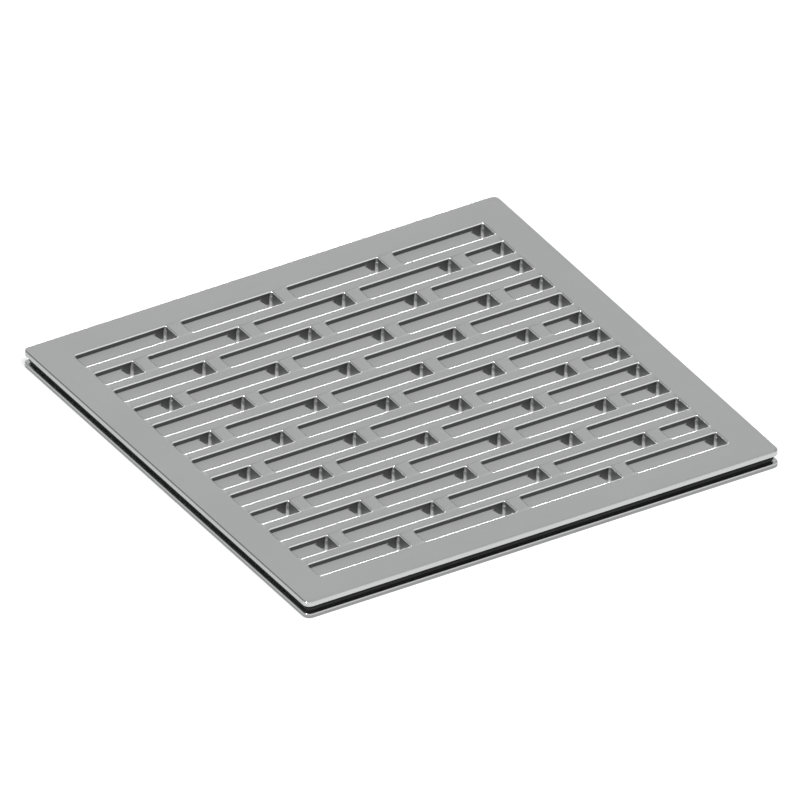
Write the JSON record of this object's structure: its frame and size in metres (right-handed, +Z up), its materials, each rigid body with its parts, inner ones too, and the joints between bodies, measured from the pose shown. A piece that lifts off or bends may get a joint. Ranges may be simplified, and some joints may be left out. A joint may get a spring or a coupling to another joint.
{
  "type": "floor drain grate",
  "caption": "Square flat floor drain grate: a steel top grate with a brick pattern of slots, lifting off a frame plate with a rubber edge gasket.",
  "frame": {"origin": "middle of the underside", "axes": "+Z up out of the floor, +X towards the side that the outlets lie at in each slot, -Y the front"},
  "size_m": [0.15, 0.15, 0.0052],
  "materials": {
    "brushed_stainless": "satin brushed, even all over, with softly rounded rims",
    "pin_stainless": "fine turned",
    "black_rubber": "matt moulded"
  },
  "bodies": {
    "frame": {"bottom_frame": "brushed_stainless", "edge_gasket": "black_rubber", "locating_pin_front_left": "pin_stainless", "locating_pin_front_right": "pin_stainless", "locating_pin_rear_left": "pin_stainless", "locating_pin_rear_right": "pin_stainless"},
    "grate": {"top_grate": "brushed_stainless", "strainer_plate": "brushed_stainless", "pin_grommet_front_left": "black_rubber", "pin_grommet_front_right": "black_rubber", "pin_grommet_rear_left": "black_rubber", "pin_grommet_rear_right": "black_rubber", "fixing_stud_front_low": "pin_stainless", "fixing_stud_front_high": "pin_stainless", "fixing_stud_rear_low": "pin_stainless", "fixing_stud_rear_high": "pin_stainless", "fixing_stud_left_low": "pin_stainless", "fixing_stud_left_high": "pin_stainless", "fixing_stud_right_low": "pin_stainless", "fixing_stud_right_high": "pin_stainless"}
  },
  "joints": [
    {"name": "grate_lift", "type": "slide", "parent": "frame", "child": "grate", "axis": [0, 0, 1], "range_m": [0, 0.02]}
  ]
}
